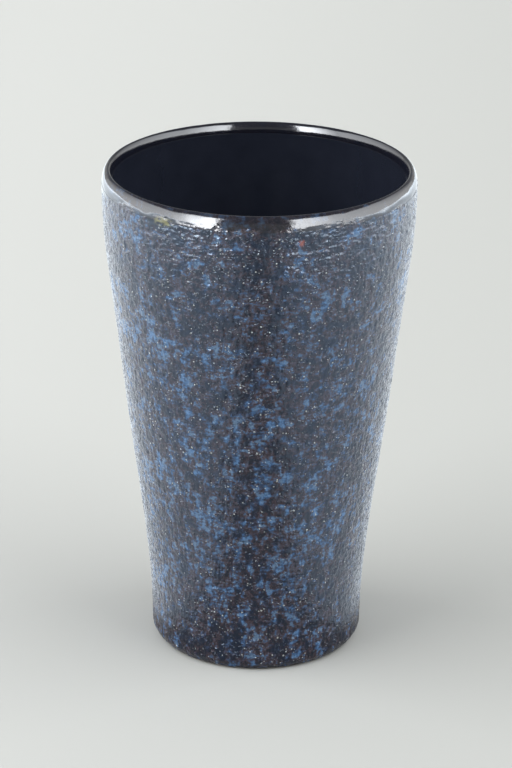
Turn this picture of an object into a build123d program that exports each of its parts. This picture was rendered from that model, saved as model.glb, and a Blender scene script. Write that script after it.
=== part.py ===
from build123d import *
import os

# A tapered stoneware vase, thrown on the wheel, standing on its foot ring at z = 0 on the Z axis.
# It is one fired clay body under three coats of glaze: a textured coat outside, a smooth band over
# the lip, and a liner inside. Each piece is half of the vase's section, drawn with X as the radius
# and Y as the height, and turned once about the axis. A coat and the clay under it share one curve,
# and neighbouring coats share one straight edge, so the pieces touch and never overlap.

# Driving dimensions, in millimetres
HEIGHT = 270.0              # foot ring to crest of the lip
FOOT_RADIUS = 58.0          # bottom of the wall, just above the foot's rounded edge
SHOULDER_RADIUS = 83.9      # widest part of the vase, where the lip starts to turn in
CREST_RADIUS = 80.2         # highest line of the lip
GLAZE = 0.7                 # thickness of every coat

# The outside of the wall between the foot and the shoulder, as radius and height
WALL_OUTLINE = [(59.7, 43.0), (69.4, 121.5), (79.2, 202.5)]

WALL_AT_FOOT = 8.0          # glazed wall thickness beside the floor
WALL_AT_LIP = 6.0           # glazed wall thickness under the lip
LIP_OUTER_DROP = 8.0        # crest down to the shoulder
LIP_INNER_DROP = 6.0        # crest down to the top of the inner wall

FOOT_EDGE_RADIUS = 6.8      # rounded lower edge of the clay
GLAZE_STOP_ANGLE = 52.0     # how far round that edge the outer coat comes, in degrees
FOOT_RING_WIDTH = 8.0       # flat clay that touches the table
RECESS_DEPTH = 2.5          # hollow turned out of the underside
RECESS_SLOPE = 2.0          # run of the hollow's sloped side
FLOOR_HEIGHT = 12.0         # glazed floor above the table
FLOOR_FILLET = 16.0         # glazed curve from the wall into the floor

# Places worked out from them
SHOULDER_HEIGHT = HEIGHT - LIP_OUTER_DROP
INNER_TOP_HEIGHT = HEIGHT - LIP_INNER_DROP
INNER_TOP_RADIUS = SHOULDER_RADIUS - WALL_AT_LIP
INNER_FOOT_HEIGHT = FLOOR_HEIGHT + FLOOR_FILLET
INNER_FOOT_RADIUS = FOOT_RADIUS - WALL_AT_FOOT
FLOOR_RADIUS = INNER_FOOT_RADIUS - FLOOR_FILLET
RING_OUTER_RADIUS = FOOT_RADIUS - GLAZE - FOOT_EDGE_RADIUS
RING_INNER_RADIUS = RING_OUTER_RADIUS - FOOT_RING_WIDTH
FOOT_EDGE_CENTRE = (RING_OUTER_RADIUS, FOOT_EDGE_RADIUS)


def wall_thickness(height):
    """Glazed wall thickness, which falls evenly from the foot to the lip."""
    share = (height - INNER_FOOT_HEIGHT) / (INNER_TOP_HEIGHT - INNER_FOOT_HEIGHT)
    return WALL_AT_FOOT + share * (WALL_AT_LIP - WALL_AT_FOOT)


# The three outlines below follow each other from the bare foot, up the outside, over the lip, and
# down the inside to the axis. At depth 0 they are the surface of the glaze, and at depth GLAZE the
# surface of the clay.

def outer_outline(depth):
    """Rounded foot edge, then the outside of the wall up to the shoulder."""
    edge_radius = FOOT_EDGE_RADIUS + GLAZE - depth
    foot_edge = CenterArc(FOOT_EDGE_CENTRE, edge_radius, -GLAZE_STOP_ANGLE, GLAZE_STOP_ANGLE)
    points = [(FOOT_RADIUS, FOOT_EDGE_RADIUS), *WALL_OUTLINE, (SHOULDER_RADIUS, SHOULDER_HEIGHT)]
    upright = [(0, 1), (0, 1)]
    wall = Spline([(radius - depth, height) for radius, height in points], tangents=upright)
    return [foot_edge, wall]


def lip_outline(depth):
    """Two quarter ellipses that meet at the crest."""
    outer_reach = SHOULDER_RADIUS - CREST_RADIUS - depth
    inner_reach = CREST_RADIUS - INNER_TOP_RADIUS - depth
    outer_centre = (CREST_RADIUS, SHOULDER_HEIGHT)
    inner_centre = (CREST_RADIUS, INNER_TOP_HEIGHT)
    outside = EllipticalCenterArc(outer_centre, outer_reach, LIP_OUTER_DROP - depth, 0, arc_size=90)
    inside = EllipticalCenterArc(inner_centre, inner_reach, LIP_INNER_DROP - depth, 90, arc_size=90)
    return [outside, inside]


def inner_outline(depth):
    """Inside of the wall from the lip down, the curve into the floor, and the floor."""
    top = (INNER_TOP_RADIUS, INNER_TOP_HEIGHT)
    middle = [(radius - wall_thickness(height), height) for radius, height in reversed(WALL_OUTLINE)]
    foot = (INNER_FOOT_RADIUS, INNER_FOOT_HEIGHT)
    downward = [(0, -1), (0, -1)]
    wall = Spline([(radius + depth, height) for radius, height in [top, *middle, foot]], tangents=downward)
    floor_curve = CenterArc((FLOOR_RADIUS, INNER_FOOT_HEIGHT), FLOOR_FILLET + depth, 0, -90)
    floor = Line((FLOOR_RADIUS, FLOOR_HEIGHT - depth), (0, FLOOR_HEIGHT - depth))
    return [wall, floor_curve, floor]


def coat_section(outline):
    """Section of a coat, closed by a straight edge at each end."""
    surface = outline(0)
    clay = outline(GLAZE)
    start = Line(surface[0] @ 0, clay[0] @ 0)
    end = Line(surface[-1] @ 1, clay[-1] @ 1)
    return make_face([*surface, *clay, start, end])


def clay_section():
    """Section of the clay: bare foot edge, ring and recess, and the rest under the coats."""
    bare_edge = CenterArc(FOOT_EDGE_CENTRE, FOOT_EDGE_RADIUS, -90, 90 - GLAZE_STOP_ANGLE)
    underside = Polyline(
        (0, FLOOR_HEIGHT - GLAZE),
        (0, RECESS_DEPTH),
        (RING_INNER_RADIUS - RECESS_SLOPE, RECESS_DEPTH),
        (RING_INNER_RADIUS, 0),
        (RING_OUTER_RADIUS, 0),
    )
    under_coats = [*outer_outline(GLAZE), *lip_outline(GLAZE), *inner_outline(GLAZE)]
    return make_face([*underside.edges(), bare_edge, *under_coats])


def turned(section):
    """The solid that a section makes when it turns once about the vase's axis."""
    return revolve(Plane.XZ * section, axis=Axis.Z)


SECTIONS = {
    "stoneware_body": clay_section(),
    "outer_glaze": coat_section(outer_outline),
    "rim_glaze": coat_section(lip_outline),
    "liner_glaze": coat_section(inner_outline),
}

os.makedirs("parts", exist_ok=True)
for node, section in SECTIONS.items():
    export_step(turned(section), f"parts/{node}.step")
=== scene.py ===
import math

import bpy
import numpy as np
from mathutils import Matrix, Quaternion, Vector
from numpy.polynomial import Polynomial


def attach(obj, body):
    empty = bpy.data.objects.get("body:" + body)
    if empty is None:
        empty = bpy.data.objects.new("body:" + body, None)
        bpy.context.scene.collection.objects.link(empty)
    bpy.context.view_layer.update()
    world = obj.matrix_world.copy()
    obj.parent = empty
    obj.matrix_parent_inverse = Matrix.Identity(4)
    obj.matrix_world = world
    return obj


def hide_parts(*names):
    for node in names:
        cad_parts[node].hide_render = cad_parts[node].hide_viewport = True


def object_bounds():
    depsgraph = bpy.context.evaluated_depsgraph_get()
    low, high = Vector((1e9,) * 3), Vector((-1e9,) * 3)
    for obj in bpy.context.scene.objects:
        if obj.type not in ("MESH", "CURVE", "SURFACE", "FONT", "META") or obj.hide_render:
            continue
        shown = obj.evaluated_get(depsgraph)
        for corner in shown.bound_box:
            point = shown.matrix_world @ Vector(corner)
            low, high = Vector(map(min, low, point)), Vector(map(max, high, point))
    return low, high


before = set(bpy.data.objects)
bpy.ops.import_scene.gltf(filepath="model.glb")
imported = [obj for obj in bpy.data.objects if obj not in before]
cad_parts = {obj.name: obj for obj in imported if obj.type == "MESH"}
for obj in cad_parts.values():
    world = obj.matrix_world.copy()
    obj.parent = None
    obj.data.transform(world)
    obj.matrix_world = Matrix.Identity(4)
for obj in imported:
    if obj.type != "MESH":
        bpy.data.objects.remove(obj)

# The vase is built again over its CAD frame, in metres: a coarse textured glaze outside, a smooth
# glaze over the lip, a dark liner and the bare clay of the foot. Every piece is a fine skin turned
# about Z, with its relief cut inwards from the CAD surface, so that nothing grows past the frame.

cad_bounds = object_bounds()
random = np.random.default_rng(11)
MM = 0.001


# ---- Sizes, read from the frame -----------------------------------------------------------------

def section(node):
    """Radius and height of every vertex of a CAD node."""
    points = np.array([vertex.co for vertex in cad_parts[node].data.vertices])
    return np.hypot(points[:, 0], points[:, 1]), points[:, 2]


def wall_curve(node, outer, low, high):
    """Radius of a coat's outer or inner face, as a smooth function of the height."""
    radius, height = section(node)
    wall = (height > low) & (height < high)
    radius, height = radius[wall], height[wall]
    between_faces = Polynomial.fit(height, radius, 8)
    face = (radius > between_faces(height)) == outer
    return Polynomial.fit(height[face], radius[face], 9)


def edge_radius(across, up):
    """Radius of a rounded edge, from points on it measured from where it starts to rise."""
    return ((across**2 + up**2) / (2 * up)).min()


coat_radius, coat_height = section("outer_glaze")
clay_radius, clay_height = section("stoneware_body")
rim_radius, rim_height = section("rim_glaze")
liner_radius, liner_height = section("liner_glaze")

HEIGHT = cad_bounds[1].z
SHOULDER_RADIUS = coat_radius.max()
SHOULDER_HEIGHT = coat_height.max()
CREST_RADIUS = rim_radius[rim_height > HEIGHT - 0.01 * MM].mean()
MOUTH_RADIUS = rim_radius.min()
MOUTH_HEIGHT = liner_height.max()
GLAZE = coat_radius.max() - clay_radius.max()

on_table = clay_height < 0.01 * MM
RING_OUTER = clay_radius[on_table].max()
RING_INNER = clay_radius[on_table].min()
RECESS = clay_height[clay_radius < RING_INNER - MM].min()
on_foot_edge = (clay_radius > RING_OUTER) & (clay_height > 0.3 * MM) & (clay_height < 3 * MM)
FOOT_EDGE = edge_radius(clay_radius[on_foot_edge] - RING_OUTER, clay_height[on_foot_edge])

FLOOR_HEIGHT = liner_height.min() + GLAZE
on_floor = abs(liner_height - FLOOR_HEIGHT) < 0.01 * MM
FLOOR_RADIUS = liner_radius[on_floor].max()
above_floor = liner_height - FLOOR_HEIGHT
on_curve = (above_floor > 0.5 * MM) & (above_floor < 8 * MM)
FLOOR_CURVE = edge_radius(liner_radius[on_curve] - FLOOR_RADIUS, above_floor[on_curve])


# ---- The vase's section, as runs of radius and height ---------------------------------------------

def even_run(radius, height, spacing):
    """The same run with its points at an even spacing, in an even number of steps."""
    length = np.concatenate([[0], np.cumsum(np.hypot(np.diff(radius), np.diff(height)))])
    even = np.linspace(0, length[-1], 2 * round(length[-1] / spacing / 2) + 1)
    return np.stack([np.interp(even, length, radius), np.interp(even, length, height)])


def arc(centre, size, start, end):
    """Points on a circle or ellipse in the section, from one angle in degrees to another."""
    angle = np.radians(np.linspace(start, end, 400))
    return np.stack([centre[0] + size[0] * np.cos(angle), centre[1] + size[1] * np.sin(angle)])


def outside_run(spacing):
    """Glazed surface from its lower end on the foot edge, up the wall, to the shoulder."""
    size = FOOT_EDGE + GLAZE
    stop = -math.degrees(math.asin((FOOT_EDGE - coat_height.min()) / size))
    foot = arc((RING_OUTER, FOOT_EDGE), (size, size), stop, 0)
    height = np.linspace(FOOT_EDGE, SHOULDER_HEIGHT, 4000)[1:]
    curve = wall_curve("outer_glaze", True, FOOT_EDGE, SHOULDER_HEIGHT)
    return even_run(*np.concatenate([foot, [curve(height), height]], axis=1), spacing)


def lip_run(spacing):
    """Glazed surface over the lip, from the shoulder to the mouth."""
    outside = arc((CREST_RADIUS, SHOULDER_HEIGHT),
                  (SHOULDER_RADIUS - CREST_RADIUS, HEIGHT - SHOULDER_HEIGHT), 0, 90)
    inside = arc((CREST_RADIUS, MOUTH_HEIGHT),
                 (CREST_RADIUS - MOUTH_RADIUS, HEIGHT - MOUTH_HEIGHT), 90, 180)
    return even_run(*np.concatenate([outside, inside[:, 1:]], axis=1), spacing)


def inside_run(spacing):
    """Glazed surface from the mouth, down the inner wall, to the middle of the floor."""
    curve_top = FLOOR_HEIGHT + FLOOR_CURVE
    height = np.linspace(MOUTH_HEIGHT, curve_top, 4000)
    curve = wall_curve("liner_glaze", False, curve_top, MOUTH_HEIGHT)
    corner = arc((FLOOR_RADIUS, curve_top), (FLOOR_CURVE, FLOOR_CURVE), 0, -90)
    run = np.concatenate([[curve(height), height], corner[:, 1:], [[0], [FLOOR_HEIGHT]]], axis=1)
    return even_run(*run, spacing)


def along(run):
    """Unit direction of travel at each point of a run. The surface faces its right-hand side."""
    step = np.gradient(run, axis=1)
    return step / np.hypot(*step)


def sunk(run, depth):
    """The run moved into the wall by a depth, square to itself."""
    right, up = along(run)
    return np.stack([np.maximum(run[0] - depth * up, 0), run[1] + depth * right])


# ---- Turning a section into a mesh ------------------------------------------------------------------

def turned_piece(name, node, runs, columns, material, relief=None, marks=None):
    """A closed skin turned about Z from runs that follow each other round a section.

    Relief is the depth cut into the first run, a row for each of its points and a column for each
    step round the vase. Marks are named values on the same rows and columns, for the material.
    """
    radius, height = np.concatenate(runs, axis=1)
    right, up = np.concatenate([along(run) for run in runs], axis=1)
    rows = len(radius)
    cut = np.zeros((rows, columns))
    if relief is not None:
        cut[:len(relief)] = relief
    angle = 2 * np.pi * np.arange(columns) / columns
    reach = radius[:, None] - cut * up[:, None]
    points = np.stack([
        reach * np.cos(angle),
        reach * np.sin(angle),
        height[:, None] + cut * right[:, None],
    ], axis=-1).reshape(-1, 3)

    # A row on the axis is a single point
    index = np.arange(rows * columns).reshape(rows, columns)
    index[radius < 1e-6] = index[radius < 1e-6, :1]
    row, column = np.meshgrid(np.arange(rows), np.arange(columns), indexing="ij")
    next_row = (row + 1) % rows
    next_column = (column + 1) % columns
    corners = np.stack([
        index[row, column],
        index[row, next_column],
        index[next_row, next_column],
        index[next_row, column],
    ], axis=-1).reshape(-1, 4)

    # The texture layer is one strip round the vase, and the length of the section high
    length = np.concatenate([[0], np.cumsum(np.hypot(np.diff(radius), np.diff(height)))])
    share = np.append(length, length[-1] * 1.004) / (length[-1] * 1.004)
    across = np.stack([column, column + 1, column + 1, column], axis=-1) / columns
    upward = np.stack([share[row], share[row], share[row + 1], share[row + 1]], axis=-1)
    uv = 0.002 + 0.996 * np.stack([across, upward], axis=-1).reshape(-1, 4, 2)

    # A face beside the axis is a triangle, and a gap along the axis has no faces
    keep = np.ones(corners.shape, bool)
    keep[:, 1] = corners[:, 1] != corners[:, 0]
    keep[:, 3] = corners[:, 3] != corners[:, 2]
    real = keep.sum(axis=1) > 2
    corners, keep, uv = corners[real], keep[real], uv[real]
    used, corner_points = np.unique(corners[keep], return_inverse=True)

    mesh = bpy.data.meshes.new(name)
    mesh.vertices.add(len(used))
    mesh.vertices.foreach_set("co", points[used].ravel())
    mesh.loops.add(len(corner_points))
    mesh.loops.foreach_set("vertex_index", corner_points.ravel())
    mesh.polygons.add(len(corners))
    mesh.polygons.foreach_set("loop_start", np.cumsum(keep.sum(axis=1)) - keep.sum(axis=1))
    mesh.update(calc_edges=True)
    mesh.uv_layers.new(name="OFBake").data.foreach_set("uv", uv[keep].ravel())
    for mark, values in (marks or {}).items():
        full = np.zeros((rows, columns))
        full[:len(values)] = values
        attribute = mesh.attributes.new(mark, "FLOAT", "POINT")
        attribute.data.foreach_set("value", full.ravel()[used].astype(np.float32))
    mesh.materials.append(material)
    mesh.validate()

    # Shading is smooth along a run and breaks where one run meets the next
    run_ends = np.cumsum([run.shape[1] for run in runs]) - 1
    mesh.polygons.foreach_set("use_smooth", ~np.isin(row.ravel(), run_ends)[real])
    edge_points = np.empty(2 * len(mesh.edges), int)
    mesh.edges.foreach_get("vertices", edge_points)
    edge_rows = used[edge_points].reshape(-1, 2) // columns
    ends = np.concatenate([run_ends, run_ends + 1])
    on_end = (edge_rows[:, 0] == edge_rows[:, 1]) & np.isin(edge_rows[:, 0], ends)
    mesh.attributes.new("sharp_edge", "BOOLEAN", "EDGE").data.foreach_set("value", on_end)

    piece = bpy.data.objects.new(name, mesh)
    bpy.context.scene.collection.objects.link(piece)
    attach(piece, "root")
    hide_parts(node)
    return piece


# ---- Random fields over a wall ----------------------------------------------------------------------

def smooth_noise(shape, steps, blur):
    """A random field of mean 0 and deviation 1, which joins up round the vase.

    Steps are the distances between rows and between columns, and blur is how far it is softened
    along each, all in metres.
    """
    waves = np.meshgrid(np.fft.fftfreq(shape[0], steps[0]), np.fft.rfftfreq(shape[1], steps[1]),
                        indexing="ij")
    soften = np.exp(-2 * np.pi**2 * ((waves[0] * blur[0])**2 + (waves[1] * blur[1])**2))
    spectrum = np.fft.rfft2(random.standard_normal(shape)) * soften
    spectrum[0, 0] = 0
    field = np.fft.irfft2(spectrum, shape)
    return field / field.std()


def ramp(values, low, high):
    """0 below low, 1 above high, and a smooth rise between them."""
    share = np.clip((values - low) / (high - low), 0, 1)
    return share * share * (3 - 2 * share)


def stamped(shape, steps, count, sizes, profile, reach):
    """Round marks of random size strewn over a wall, the strongest where they overlap.

    Steps are the distance between rows, and that between columns at every row. Profile gives a
    mark's value from the distance to its centre as a share of its size, out to reach.
    """
    field = np.zeros(shape)
    rows = random.uniform(0, shape[0] - 1, count)
    columns = random.uniform(0, shape[1], count)
    size = sizes[0] + (sizes[1] - sizes[0]) * random.random(count)**2
    stretch = random.uniform(0.75, 1.35, count)
    strength = random.uniform(0.45, 1, count)
    column_step = steps[1][rows.astype(int)]
    window = math.ceil(reach * sizes[1] * 1.35 / min(steps[0], steps[1].min()))
    for up in range(-window, window + 1):
        for across in range(-window, window + 1):
            row = np.round(rows).astype(int) + up
            column = np.round(columns).astype(int) + across
            distance = np.hypot((row - rows) * steps[0] / stretch,
                                (column - columns) * column_step * stretch) / size
            near = (distance < reach) & (row >= 0) & (row < shape[0])
            spot = (row[near], column[near] % shape[1])
            np.maximum.at(field, spot, strength[near] * profile(distance[near]))
    return field


# ---- Materials --------------------------------------------------------------------------------------

def new_material(name):
    """A material with its node tree and the shader in it."""
    material = bpy.data.materials.new(name)
    material.use_nodes = True
    return material, material.node_tree, material.node_tree.nodes["Principled BSDF"]


def add_node(tree, kind, inputs=None, **settings):
    """A new node. An input's value is a number, a colour or the output socket that feeds it."""
    node = tree.nodes.new("ShaderNode" + kind)
    for setting, value in settings.items():
        setattr(node, setting, value)
    for name, value in (inputs or {}).items():
        if isinstance(value, bpy.types.NodeSocket):
            tree.links.new(value, node.inputs[name])
        else:
            node.inputs[name].default_value = value
    return node


def place(tree):
    """The point on the surface, in the vase's own metres."""
    return add_node(tree, "TexCoord").outputs["Object"]


def mark(tree, name):
    """A value that the mesh carries."""
    return add_node(tree, "Attribute", attribute_name=name).outputs["Fac"]


def grain(tree, size, detail=3.0, roughness=0.6):
    """Noise from 0 to 1 whose largest features are about this size."""
    inputs = {"Vector": place(tree), "Scale": 1 / size, "Detail": detail, "Roughness": roughness}
    return add_node(tree, "TexNoise", inputs).outputs["Fac"]


def maths(tree, operation, first, second):
    """The result of an operation on two values."""
    return add_node(tree, "Math", {0: first, 1: second}, operation=operation).outputs[0]


def between(tree, value, low, high, to_low=0.0, to_high=1.0):
    """The value carried smoothly from one range to another and held inside it."""
    inputs = {"Value": value, "From Min": low, "From Max": high, "To Min": to_low, "To Max": to_high}
    return add_node(tree, "MapRange", inputs, interpolation_type="SMOOTHSTEP").outputs["Result"]


def blend(tree, share, first, second):
    """A mix of two colours, with this share of the second."""
    node = add_node(tree, "Mix", {"Factor": share}, data_type="RGBA")
    for socket, colour in ((node.inputs[6], first), (node.inputs[7], second)):
        if isinstance(colour, bpy.types.NodeSocket):
            tree.links.new(colour, socket)
        else:
            socket.default_value = (*colour, 1)
    return node.outputs[2]


def shades(tree, value, stops):
    """Colours run through in order as the value goes from 0 to 1."""
    node = add_node(tree, "ValToRGB", {"Fac": value})
    for _ in stops[2:]:
        node.color_ramp.elements.new(0.5)
    for element, (position, colour) in zip(node.color_ramp.elements, stops):
        element.position = position
        element.color = (*colour, 1)
    return node.outputs["Color"]


def coat_glaze(name, tint):
    """Glaze over coarse clay, brown-black to blue where it pools, dark in the smooth band, with painted
    shade at the foot and pale specks that are partly painted glints.

    Tint is the colour of its reflections.
    """
    material, tree, shader = new_material(name)

    # Two ranges of colour, from the thinnest glaze to the deepest, in drifts over the wall; the pooling
    # mark also brings the painted shade at the foot down these ranges
    fine = grain(tree, 1.2 * MM, detail=5)
    glaze_depth_and_foot_shade = maths(tree, "ADD", mark(tree, "pool_and_foot_shade"), between(tree, fine, 0.25, 0.75, -0.26, 0.26))
    cold = shades(tree, glaze_depth_and_foot_shade, [
        (0.00, (0.001, 0.003, 0.015)),
        (0.30, (0.009, 0.011, 0.027)),
        (0.50, (0.020, 0.031, 0.066)),
        (0.75, (0.028, 0.070, 0.160)),
        (1.00, (0.066, 0.145, 0.290)),
    ])
    warm = shades(tree, glaze_depth_and_foot_shade, [
        (0.00, (0.004, 0.003, 0.010)),
        (0.35, (0.028, 0.015, 0.018)),
        (0.60, (0.044, 0.032, 0.045)),
        (0.80, (0.036, 0.066, 0.130)),
        (1.00, (0.080, 0.130, 0.210)),
    ])
    height = add_node(tree, "SeparateXYZ", {"Vector": place(tree)}).outputs["Z"]
    warmth = maths(tree, "ADD", grain(tree, 6 * MM), between(tree, height, 0.20, 0.25, 0, 0.04))
    colour = blend(tree, between(tree, warmth, 0.38, 0.56), cold, warm)
    colour = blend(tree, mark(tree, "pit"), colour, (0.003, 0.007, 0.022))
    smooth_band = mark(tree, "band")
    outside_band = maths(tree, "SUBTRACT", 1.0, smooth_band)
    colour = blend(tree, maths(tree, "MULTIPLY", smooth_band, 0.75), colour, (0.007, 0.008, 0.012))

    # Pale specks on some of the blisters, more of them where the blisters crowd: partly pale grains in
    # the glaze, partly painted glints for the light caught on the blister tops
    blisters = add_node(tree, "TexVoronoi", {"Vector": place(tree), "Scale": 1 / (1.5 * MM)})
    crowded = between(tree, grain(tree, 5 * MM), 0.40, 0.60)
    chance = add_node(tree, "SeparateColor", {"Color": blisters.outputs["Color"]})
    size = between(tree, chance.outputs["Green"], 0, 1, 0.14, 0.38)
    ragged = maths(tree, "ADD", blisters.outputs["Distance"], between(tree, fine, 0.3, 0.7, -0.12, 0.12))
    speck = between(tree, maths(tree, "SUBTRACT", ragged, size), -0.12, 0.0, 1, 0)
    likely = maths(tree, "ADD", chance.outputs["Red"], maths(tree, "MULTIPLY", crowded, 0.3))
    speck = maths(tree, "MULTIPLY", speck, between(tree, likely, 0.84, 1.25))
    speck = maths(tree, "MULTIPLY", speck, outside_band)
    # Painted glints, partly real pale specks: the blister tops turned near-white in the base colour
    colour = blend(tree, speck, colour, (0.37, 0.38, 0.365))
    colour = blend(tree, mark(tree, "olive"), colour, (0.16, 0.15, 0.06))
    colour = blend(tree, mark(tree, "rust"), colour, (0.22, 0.06, 0.035))
    tree.links.new(colour, shader.inputs["Base Color"])

    # Gloss, and the domes of the blisters over a fine uneven skin
    rough = between(tree, fine, 0.3, 0.7, 0.10, 0.20)
    rough = maths(tree, "SUBTRACT", rough, maths(tree, "MULTIPLY", smooth_band, 0.04))
    tree.links.new(rough, shader.inputs["Roughness"])
    shader.inputs["Specular Tint"].default_value = (*tint, 1)
    domes = between(tree, blisters.outputs["Distance"], 0.36, 0.0, 0, 4.2)
    domes = maths(tree, "MULTIPLY", domes, between(tree, crowded, 0, 1, 0.3, 1.2))
    skin = maths(tree, "ADD", domes, grain(tree, 0.6 * MM))
    skin = maths(tree, "MULTIPLY", skin, outside_band)
    skin = maths(tree, "ADD", skin, maths(tree, "MULTIPLY", grain(tree, 3 * MM), 0.5))
    bump = add_node(tree, "Bump", {"Height": skin, "Distance": 0.07 * MM, "Strength": 1.0})
    tree.links.new(bump.outputs["Normal"], shader.inputs["Normal"])
    return material


def liner_glaze():
    """Near-black navy glaze inside."""
    material, tree, shader = new_material("liner_glaze")
    cloud = grain(tree, 14 * MM)
    speck = between(tree, grain(tree, 1.6 * MM), 0.72, 0.78)
    colour = blend(tree, cloud, (0.009, 0.011, 0.018), (0.016, 0.019, 0.030))
    colour = blend(tree, speck, colour, (0.02, 0.03, 0.05))
    tree.links.new(colour, shader.inputs["Base Color"])
    tree.links.new(between(tree, cloud, 0.3, 0.7, 0.06, 0.12), shader.inputs["Roughness"])
    return material


def bare_clay():
    """Unglazed stoneware with grog, under the foot."""
    material, tree, shader = new_material("bare_stoneware")
    grog = between(tree, grain(tree, 1.3 * MM), 0.55, 0.66)
    colour = blend(tree, grain(tree, 12 * MM), (0.26, 0.17, 0.11), (0.36, 0.26, 0.18))
    colour = blend(tree, grog, colour, (0.12, 0.08, 0.06))
    tree.links.new(colour, shader.inputs["Base Color"])
    tree.links.new(between(tree, grog, 0, 1, 0.85, 0.7), shader.inputs["Roughness"])
    sand = grain(tree, 0.7 * MM)
    bump = add_node(tree, "Bump", {"Height": sand, "Distance": 0.08 * MM, "Strength": 1.0})
    tree.links.new(bump.outputs["Normal"], shader.inputs["Normal"])
    return material


# ---- The outer coat ---------------------------------------------------------------------------------

GRID = 0.5 * MM             # spacing of the outer coat's vertices
GRAINS = 26000              # grains of grog that stand up under the outer coat
CRATERS = 420               # burst bubbles in it, and as many that healed over
COAT_DEPTH = 0.30           # millimetres from the CAD surface to the coat between grains and craters
DEPTHS = (0.10, 0.64)       # millimetres, the least and the most that the relief may cut into the coat
TEXTURE_TOP = 262.0 * MM    # height where the coarse texture gives way to the smooth glaze of the lip
LIP_SET_BACK = 0.30         # millimetres that the smooth glaze lies below the CAD surface there
CREST_SET_BACK = 0.12       # the same at the crest of the lip

outside = outside_run(GRID)
lip = lip_run(GRID / 2)
over_lip = np.concatenate([outside, lip[:, 2::2]], axis=1)
shoulder_row = outside.shape[1]
coat_columns = round(2 * np.pi * SHOULDER_RADIUS / GRID)
coat_shape = (over_lip.shape[1], coat_columns)
column_steps = 2 * np.pi * over_lip[0] / coat_columns
coat_steps = (GRID, column_steps.mean())


def coat_noise(up, across):
    """Noise over the outer coat and the lip, softened by these distances in millimetres."""
    return smooth_noise(coat_shape, coat_steps, (up * MM, across * MM))


def around(azimuth):
    """Distance round the shoulder of each column from an azimuth, of which 0 is the front."""
    turn = 2 * np.pi * np.arange(coat_columns) / coat_columns - math.radians(azimuth - 90)
    return np.arctan2(np.sin(turn), np.cos(turn)) * SHOULDER_RADIUS


def blotch(azimuth, height, across, up):
    """A ragged blotch on the wall: 1 in the middle, 0 outside."""
    away = np.hypot(around(azimuth) / across, (rise - height) / up)
    return ramp(-away, -1, -0.4) * ramp(speckle, -1.0, 0.6) * (travel < crest_travel)


# The row of every point, and its height
travel = np.arange(coat_shape[0])[:, None] * np.ones(coat_shape)
crest_travel = over_lip[1].argmax()
rise = over_lip[1][:, None] * np.ones(coat_shape)

# How deep the glaze pools, with less of it under the lip and on the right, and painted shade at the
# foot, darkening the wall next to the table
weave = coat_noise(1.6, 0.45) + coat_noise(0.4, 1.8)
speckle = coat_noise(0.45, 0.6)
pooling_and_foot_shade = (0.32 * weave + 0.40 * speckle + 0.55 * coat_noise(1.1, 0.9)
           + 0.50 * coat_noise(2.4, 1.8) + 0.28 * coat_noise(9, 7))
under_lip = ramp(rise, 200 * MM, 250 * MM)
# Painted shade at the foot: full below 10 mm up the wall, gone by 80 mm
painted_foot_shade = ramp(-rise, -80 * MM, -10 * MM)
on_right = np.exp(-(around(52) / (45 * MM))**2)
pooling_and_foot_shade -= 0.45 * (under_lip + painted_foot_shade + on_right)

# Grains of grog, open craters, and the raised rings of healed ones
grains = stamped(coat_shape, (GRID, column_steps), GRAINS, (0.5 * MM, 1.1 * MM),
                 lambda distance: 1 - distance**2, 1.0)
craters = stamped(coat_shape, (GRID, column_steps), CRATERS, (0.7 * MM, 1.8 * MM),
                  lambda distance: np.exp(-(distance / 0.6)**2), 1.5)
healed_rings = stamped(coat_shape, (GRID, column_steps), CRATERS, (0.9 * MM, 1.9 * MM),
                       lambda distance: np.exp(-((distance - 1) / 0.3)**2), 1.7)

# The smooth band of the lip, from its wavy lower edge over the crest
texture_edge = TEXTURE_TOP + MM * (0.9 * coat_noise(0.7, 1.6) + 1.3 * coat_noise(3, 7))
past_edge = np.where(travel < crest_travel, rise - texture_edge, 1)
band = ramp(past_edge, -1.4 * MM, 1.4 * MM)

# Depth cut into the coat, in millimetres, which ends at nothing at the foot and the mouth
dashes = ramp(coat_noise(0.35, 1.1), 1.7, 2.3) * ramp(rise, 225 * MM, 250 * MM)
relief = COAT_DEPTH + 0.045 * weave + 0.04 * coat_noise(0.5, 0.5) + 0.04 * coat_noise(0.9, 0.9)
relief += 0.30 * craters + 0.25 * dashes - 0.28 * grains - 0.12 * healed_rings
to_crest = ramp(travel, shoulder_row, crest_travel)
smooth_relief = LIP_SET_BACK + (CREST_SET_BACK - LIP_SET_BACK) * to_crest
smooth_relief += 0.045 * coat_noise(1.0, 2.2) * (1 - 0.7 * to_crest)
relief = np.clip(relief * (1 - band) + smooth_relief * band, *DEPTHS)
relief *= ramp(rise, outside[1, 0], outside[1, 0] + 1.5 * MM)
relief *= 1 - ramp(travel, crest_travel, coat_shape[0] - 1)

marks = {
    # The pooling mark also carries the painted shade at the foot
    "pool_and_foot_shade": np.clip(0.45 + 0.29 * pooling_and_foot_shade, 0, 1) * (travel < crest_travel),
    "pit": np.maximum(ramp(craters, 0.3, 0.8), 0.85 * dashes),
    "band": band,
    "olive": blotch(-36, 262 * MM, 8 * MM, 3.4 * MM),
    "rust": blotch(15, 256 * MM, 2.2 * MM, 2.4 * MM),
}

turned_piece(
    "outer_glaze_textured", "outer_glaze",
    [outside, sunk(outside, GLAZE)[:, ::-20]],
    coat_columns, coat_glaze("textured_glaze", (0.66, 0.82, 1.0)), relief[:shoulder_row] * MM,
    {name: values[:shoulder_row] for name, values in marks.items()},
)


# ---- The lip, the liner and the clay ----------------------------------------------------------------

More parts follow.
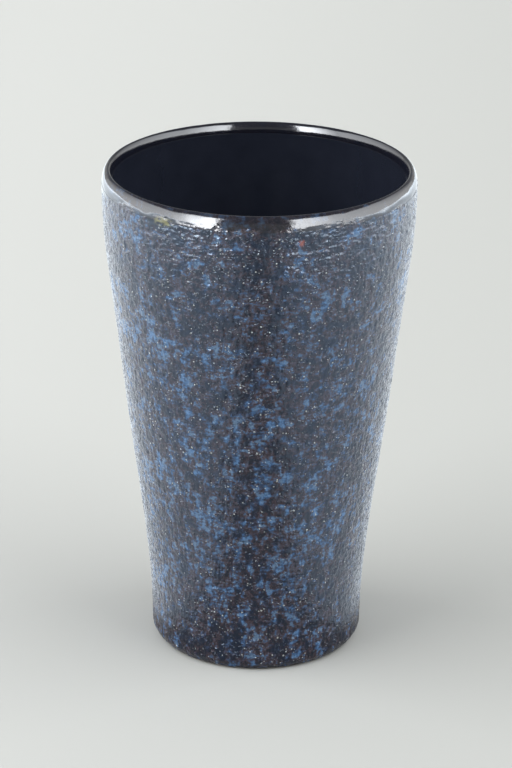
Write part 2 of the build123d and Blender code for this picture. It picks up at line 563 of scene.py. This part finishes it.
def between_rows(values):
    """The lip's rows of a field, with a row put half-way between each two."""
    rows = values[shoulder_row - 1:]
    doubled = np.repeat(rows, 2, axis=0)[:-1]
    doubled[1::2] = (rows[:-1] + rows[1:]) / 2
    return doubled


turned_piece(
    "rim_glaze_lip", "rim_glaze",
    [lip, sunk(lip, GLAZE)[:, ::-4]],
    coat_columns, coat_glaze("rim_glaze", (0.93, 0.96, 1.0)), between_rows(relief) * MM,
    {name: between_rows(values) for name, values in marks.items()},
)

inside = inside_run(1.0 * MM)
turned_piece(
    "liner_glaze_inside", "liner_glaze",
    [inside, sunk(inside, GLAZE)[:, ::-8]],
    480, liner_glaze(),
)

# The clay takes fewer points than the coats, just under each of them
foot_edge = arc((RING_OUTER, FOOT_EDGE), (FOOT_EDGE, FOOT_EDGE), -90, -60)[:, ::40]
clay_skin = np.concatenate([
    foot_edge,
    sunk(outside, GLAZE)[:, 4::8],
    sunk(lip, GLAZE)[:, 2::6],
    sunk(inside, GLAZE)[:, 2::3],
    [[0], [FLOOR_HEIGHT - GLAZE]],
], axis=1)
recess = even_run([0, RING_INNER - 2 * MM], [RECESS, RECESS], 0.8 * MM)
ring = np.stack([np.linspace(RING_INNER, RING_OUTER, 11)[:-1], np.zeros(10)])
turned_piece(
    "stoneware_body_clay", "stoneware_body",
    [clay_skin, recess, ring],
    360, bare_clay(),
)


# ---- Camera, light and floor ------------------------------------------------------------------------

LENS = 143.6                # millimetres, for a 36 mm sensor along the picture's long side
PITCH = 22.21               # degrees that the camera looks down
ROLL = 0.452                # degrees that the picture is turned
CAMERA_DISTANCE = 6.178     # vase heights from the camera to the point it looks at
AIM_HEIGHT = 0.5398         # vase heights from the floor to that point
CAMERA_SIDE = -1.02 * MM    # how far the camera stands to the left of the vase's axis


def direction(azimuth, elevation):
    """Unit vector from the vase. Azimuth 0 is towards the camera and 90 is to its right."""
    turn = math.radians(azimuth)
    lift = math.radians(elevation)
    return Vector((math.sin(turn) * math.cos(lift), -math.cos(turn) * math.cos(lift), math.sin(lift)))


def link(name, data, location, rotation):
    """A new object in the scene."""
    item = bpy.data.objects.new(name, data)
    item.location = location
    item.rotation_mode = "QUATERNION"
    item.rotation_quaternion = rotation
    bpy.context.scene.collection.objects.link(item)
    return item


to_camera = direction(0, PITCH)
camera_data = bpy.data.cameras.new("camera")
camera_data.lens = LENS
camera_data.clip_end = 60
camera_turn = (-to_camera).to_track_quat("-Z", "Y") @ Quaternion((0, 0, 1), math.radians(ROLL))
camera_place = Vector((CAMERA_SIDE, 0, AIM_HEIGHT * HEIGHT)) + to_camera * CAMERA_DISTANCE * HEIGHT
bpy.context.scene.camera = link("camera", camera_data, camera_place, camera_turn)


def light_sheet(name, size, location, turn, seen_in_glaze, radiances, fade_from):
    """A flat light whose radiance runs from one value to another along its own X.

    It fades out along its own Y from this share of it to the end. It is either reflected in the
    glaze or lights the scene.
    """
    light = bpy.data.lights.new(name, "AREA")
    light.shape = "RECTANGLE"
    light.size, light.size_y = size
    light.energy = math.pi * size[0] * size[1]
    light.use_nodes = True
    tree = light.node_tree
    spot = add_node(tree, "SeparateXYZ", {"Vector": add_node(tree, "NewGeometry").outputs["Parametric"]})
    strength = between(tree, spot.outputs["X"], 0, 1, *radiances)
    fade = between(tree, spot.outputs["Y"], fade_from, 1, 1, 0)
    tree.links.new(maths(tree, "MULTIPLY", strength, fade), tree.nodes["Emission"].inputs["Strength"])
    item = link(name, light, location, turn)
    item.visible_camera = False
    item.visible_glossy = seen_in_glaze
    item.visible_diffuse = not seen_in_glaze
    return light


def panel(name, azimuths, elevations, distance, radiances, seen_in_glaze):
    """An upright sheet that fills these angles as seen from the lip."""
    low = max(HEIGHT + distance * math.tan(math.radians(elevations[0])), 0.01)
    high = HEIGHT + distance * math.tan(math.radians(elevations[1]))
    width = 2 * distance * math.tan(math.radians(azimuths[1] - azimuths[0]) / 2)
    level = direction(sum(azimuths) / 2, 0)
    light_sheet(name, (width, high - low), level * distance + Vector((0, 0, (low + high) / 2)),
                level.to_track_quat("Z", "Y"), seen_in_glaze, radiances, 0.75)


def table_card(name, side, radiances):
    """A bluish sheet on the table beside the vase, from its foot out to the panels."""
    near, far = 0.07, 3.2
    outwards = Quaternion((0, 0, 1), math.pi if side < 0 else 0)
    turn = Quaternion((1, 0, 0), math.pi) @ outwards
    card = light_sheet(name, (far - near, 4.0), Vector((side * (near + far) / 2, 0.5, 0.004)),
                       turn, True, radiances, 0.9)
    card.color = (0.80, 0.90, 1.0)


# Sheets that light the scene
light_sheet("glow_above", (16, 16), Vector((0, 0, 9)), Quaternion(), seen_in_glaze=False,
            radiances=(1.35, 1.35), fade_from=0.9)
for name, azimuths, radiance in (("glow_left", (-115, -40), 3.9), ("glow_right", (35, 115), 2.6)):
    panel(name, azimuths, elevations=(12, 60), distance=8, radiances=(radiance, radiance),
          seen_in_glaze=False)

# Sheets that the glaze reflects
for name, azimuths, radiances in (
    ("softbox_left", (-66, -31), (7, 33)),
    ("softbox_right", (24, 66), (18, 7)),
    ("reflector_left", (-145, -66), (0.6, 7)),
    ("reflector_right", (66, 145), (7, 0.6)),
):
    panel(name, azimuths, elevations=(-10, 44), distance=2.2, radiances=radiances, seen_in_glaze=True)
for name, side in (("table_card_left", -1), ("table_card_right", 1)):
    table_card(name, side, radiances=(1.1, 8.5))

world = bpy.data.worlds.new("studio")
world.use_nodes = True
bpy.context.scene.world = world

# The studio beyond the floor, paler near the horizon
up_share = add_node(world.node_tree, "SeparateXYZ",
                    {"Vector": add_node(world.node_tree, "TexCoord").outputs["Generated"]}).outputs["Z"]
sky = blend(world.node_tree, between(world.node_tree, up_share, 0.15, 0.32),
            (0.72, 0.73, 0.70), (0.32, 0.33, 0.335))
world.node_tree.links.new(sky, world.node_tree.nodes["Background"].inputs["Color"])

paper, paper_tree, paper_shader = new_material("paper")
paper_shader.inputs["Roughness"].default_value = 0.9
paper_shader.inputs["Specular IOR Level"].default_value = 0

# Painted light on the paper: it is lighter to the left of the vase than to its right and a little
# lighter behind it, and lighter again far away
to_left = add_node(paper_tree, "VectorMath", {0: place(paper_tree), 1: (-7.0, 1.0, 0.0)},
                   operation="DOT_PRODUCT").outputs["Value"]
paper_painted_light = blend(paper_tree, between(paper_tree, to_left, -1.9, 3.1),
             (0.370, 0.377, 0.364), (0.430, 0.437, 0.424))
far_off = add_node(paper_tree, "VectorMath", {0: place(paper_tree)}, operation="LENGTH").outputs["Value"]
paper_painted_light = blend(paper_tree, between(paper_tree, far_off, 2.5, 9), paper_painted_light, (0.52, 0.53, 0.51))
paper_tree.links.new(paper_painted_light, paper_shader.inputs["Base Color"])

FLOOR_REACH = 7.5           # metres from the vase to the floor's sides, short of the glow panels
floor_mesh = bpy.data.meshes.new("floor")
floor_corners = [(x * FLOOR_REACH, y * FLOOR_REACH, 0) for x, y in ((-1, -1), (1, -1), (1, 1), (-1, 1))]
floor_mesh.from_pydata(floor_corners, [], [(0, 1, 2, 3)])
floor_mesh.materials.append(paper)
floor = link("floor", floor_mesh, Vector(), Quaternion())

bpy.context.scene.view_settings.view_transform = "Standard"
